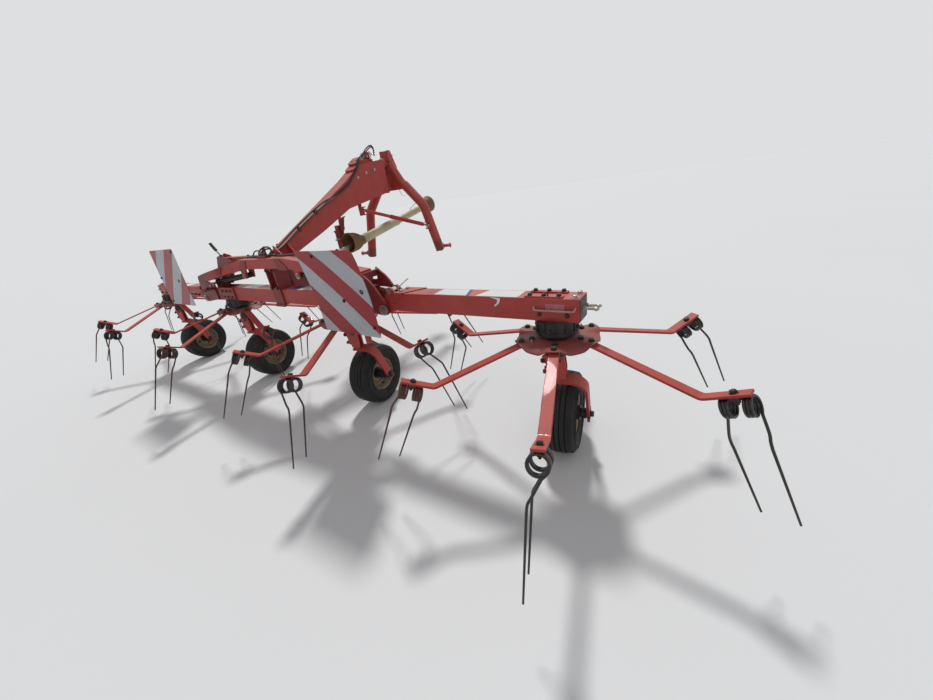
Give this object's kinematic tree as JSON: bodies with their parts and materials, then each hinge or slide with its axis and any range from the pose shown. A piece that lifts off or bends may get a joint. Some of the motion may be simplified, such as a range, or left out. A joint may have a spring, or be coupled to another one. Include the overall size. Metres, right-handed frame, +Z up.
{
  "type": "hay tedder",
  "caption": "Folding hay tedder with tined rotors on wheel legs, a boom and swivelling three-point headstock, fold cylinders, warning boards and a drive shaft.",
  "frame": {"origin": "middle of the bounding box at ground level, under the boom", "axes": "+X to the machine's right, +Y its way of travel towards the tractor, +Z up"},
  "size_m": [5.61, 2.7054, 1.67],
  "materials": {
    "red_paint": "satin",
    "dark_red_paint": "satin",
    "black_paint": "satin",
    "bare_steel": "satin",
    "chrome_rod": "polished",
    "cream_plastic": "matte",
    "striped_board": "gloss",
    "spring_wire": "satin",
    "tyre": "matte",
    "cream_rim": "satin"
  },
  "bodies": {
    "centre_frame": {"centre_beam": "red_paint", "bridge": "red_paint", "centre_pillar": "dark_red_paint", "hinge_cheeks": "dark_red_paint", "centre_gearbox": "dark_red_paint", "inner_gearboxes": "black_paint", "boom": "red_paint", "front_bars": "red_paint", "lock_lever": "black_paint", "boards": "striped_board", "pto_guard": "cream_plastic", "stand_sleeve": "dark_red_paint"},
    "pto": {"pto_shaft": "bare_steel"},
    "parking_leg": {"stand_leg": "red_paint"},
    "headstock": {"headstock": "red_paint"},
    "stay": {"stay_tube": "red_paint"},
    "stay_rod": {"stay_rod": "bare_steel"},
    "wing_left": {"wing_beam_left": "red_paint", "wing_gearbox_left": "black_paint"},
    "wing_right": {"wing_beam_right": "red_paint", "wing_gearbox_right": "black_paint"},
    "cylinder_left": {"fold_barrel_left": "black_paint"},
    "cylinder_right": {"fold_barrel_right": "black_paint"},
    "cylinder_rod_left": {"fold_rod_left": "chrome_rod"},
    "cylinder_rod_right": {"fold_rod_right": "chrome_rod"},
    "rotor_1": {"rotor_1": "red_paint", "tines_1": "spring_wire"},
    "leg_1": {"wheel_leg_1": "red_paint"},
    "wheel_1": {"tyre_1": "tyre", "rim_1": "cream_rim"},
    "rotor_2": {"rotor_2": "red_paint", "tines_2": "spring_wire"},
    "leg_2": {"wheel_leg_2": "red_paint"},
    "wheel_2": {"tyre_2": "tyre", "rim_2": "cream_rim"},
    "rotor_3": {"rotor_3": "red_paint", "tines_3": "spring_wire"},
    "leg_3": {"wheel_leg_3": "red_paint"},
    "wheel_3": {"tyre_3": "tyre", "rim_3": "cream_rim"},
    "rotor_4": {"rotor_4": "red_paint", "tines_4": "spring_wire"},
    "leg_4": {"wheel_leg_4": "red_paint"},
    "wheel_4": {"tyre_4": "tyre", "rim_4": "cream_rim"}
  },
  "joints": [
    {"name": "fold_left", "type": "hinge", "parent": "centre_frame", "child": "wing_left", "pos_m": [-1.03152, -0.52291, 0.735], "axis": [0, 1, 0], "range_deg": [-4, 92]},
    {"name": "fold_right", "type": "hinge", "parent": "centre_frame", "child": "wing_right", "pos_m": [1.06848, -0.52291, 0.735], "axis": [0, -1, 0], "range_deg": [-4, 92]},
    {"name": "rotor_1_spin", "type": "hinge", "parent": "wing_left", "child": "rotor_1", "pos_m": [-1.96152, -0.52291, 0.657], "axis": [0, 0, 1], "continuous": true},
    {"name": "rotor_2_spin", "type": "hinge", "parent": "centre_frame", "child": "rotor_2", "pos_m": [-0.64152, -0.52291, 0.657], "axis": [0, 0, 1], "continuous": true},
    {"name": "rotor_3_spin", "type": "hinge", "parent": "centre_frame", "child": "rotor_3", "pos_m": [0.67848, -0.52291, 0.657], "axis": [0, 0, 1], "continuous": true},
    {"name": "rotor_4_spin", "type": "hinge", "parent": "wing_right", "child": "rotor_4", "pos_m": [1.99848, -0.52291, 0.657], "axis": [0, 0, 1], "continuous": true},
    {"name": "leg_1_swivel", "type": "hinge", "parent": "wing_left", "child": "leg_1", "pos_m": [-1.96152, -0.52291, 0.5], "axis": [0, 0, 1], "range_deg": [-30, 22]},
    {"name": "wheel_1_spin", "type": "hinge", "parent": "leg_1", "child": "wheel_1", "pos_m": [-1.97474, -0.42883, 0.203], "axis": [0.9903, 0.1392, 0], "continuous": true},
    {"name": "leg_2_swivel", "type": "hinge", "parent": "centre_frame", "child": "leg_2", "pos_m": [-0.64152, -0.52291, 0.5], "axis": [0, 0, 1], "range_deg": [-30, 22]},
    {"name": "wheel_2_spin", "type": "hinge", "parent": "leg_2", "child": "wheel_2", "pos_m": [-0.65474, -0.42883, 0.203], "axis": [0.9903, 0.1392, 0], "continuous": true},
    {"name": "leg_3_swivel", "type": "hinge", "parent": "centre_frame", "child": "leg_3", "pos_m": [0.67848, -0.52291, 0.5], "axis": [0, 0, 1], "range_deg": [-30, 22]},
    {"name": "wheel_3_spin", "type": "hinge", "parent": "leg_3", "child": "wheel_3", "pos_m": [0.66526, -0.42883, 0.203], "axis": [0.9903, 0.1392, 0], "continuous": true},
    {"name": "leg_4_swivel", "type": "hinge", "parent": "wing_right", "child": "leg_4", "pos_m": [1.99848, -0.52291, 0.5], "axis": [0, 0, 1], "range_deg": [-30, 22]},
    {"name": "wheel_4_spin", "type": "hinge", "parent": "leg_4", "child": "wheel_4", "pos_m": [1.98526, -0.42883, 0.203], "axis": [0.9903, 0.1392, 0], "continuous": true},
    {"name": "headstock_swing", "type": "hinge", "parent": "centre_frame", "child": "headstock", "pos_m": [0.01848, 0.74709, 1.45], "axis": [0, 0, 1], "range_deg": [-27, 3]},
    {"name": "pto_spin", "type": "hinge", "parent": "centre_frame", "child": "pto", "pos_m": [0.01848, -0.17791, 0.907], "axis": [0, 0.9833, 0.1822], "continuous": true},
    {"name": "parking_leg_slide", "type": "slide", "parent": "centre_frame", "child": "parking_leg", "axis": [0, 0, 1], "range_m": [0, 0.3]},
    {"name": "cylinder_left_tilt", "type": "hinge", "parent": "centre_frame", "child": "cylinder_left", "pos_m": [-0.31152, -0.53291, 0.915], "axis": [0, 1, 0], "range_deg": [-4.89, 0.69]},
    {"name": "cylinder_left_stroke", "type": "slide", "parent": "cylinder_left", "child": "cylinder_rod_left", "axis": [-0.9942, 0, -0.1079], "range_m": [-0.1455, 0.0082]},
    {"name": "cylinder_right_tilt", "type": "hinge", "parent": "centre_frame", "child": "cylinder_right", "pos_m": [0.34848, -0.53291, 0.915], "axis": [0, -1, 0], "range_deg": [-4.89, 0.69]},
    {"name": "cylinder_right_stroke", "type": "slide", "parent": "cylinder_right", "child": "cylinder_rod_right", "axis": [0.9942, 0, -0.1079], "range_m": [-0.1455, 0.0082]},
    {"name": "stay_turn", "type": "hinge", "parent": "centre_frame", "child": "stay", "pos_m": [0.04848, 0.37709, 1.225], "axis": [0.5503, 0.035, 0.8343], "range_deg": [-12.48, 1.83]},
    {"name": "stay_stroke", "type": "slide", "parent": "stay", "child": "stay_rod", "axis": [0.5007, 0.7857, -0.3632], "range_m": [-0.1096, 0.014]}
  ],
  "couplings": [
    {"joint": "rotor_1_spin", "follows": "rotor_2_spin", "ratio": -1},
    {"joint": "rotor_3_spin", "follows": "rotor_2_spin", "ratio": -1},
    {"joint": "rotor_4_spin", "follows": "rotor_2_spin", "ratio": 1},
    {"joint": "cylinder_left_tilt", "follows": "fold_left", "ratio": -0.0477},
    {"joint": "cylinder_left_stroke", "follows": "fold_left", "m_per_rad": -0.0894},
    {"joint": "cylinder_right_tilt", "follows": "fold_right", "ratio": -0.0477},
    {"joint": "cylinder_right_stroke", "follows": "fold_right", "m_per_rad": -0.0894},
    {"joint": "stay_turn", "follows": "headstock_swing", "ratio": 0.4437},
    {"joint": "stay_stroke", "follows": "headstock_swing", "m_per_rad": 0.2284}
  ]
}
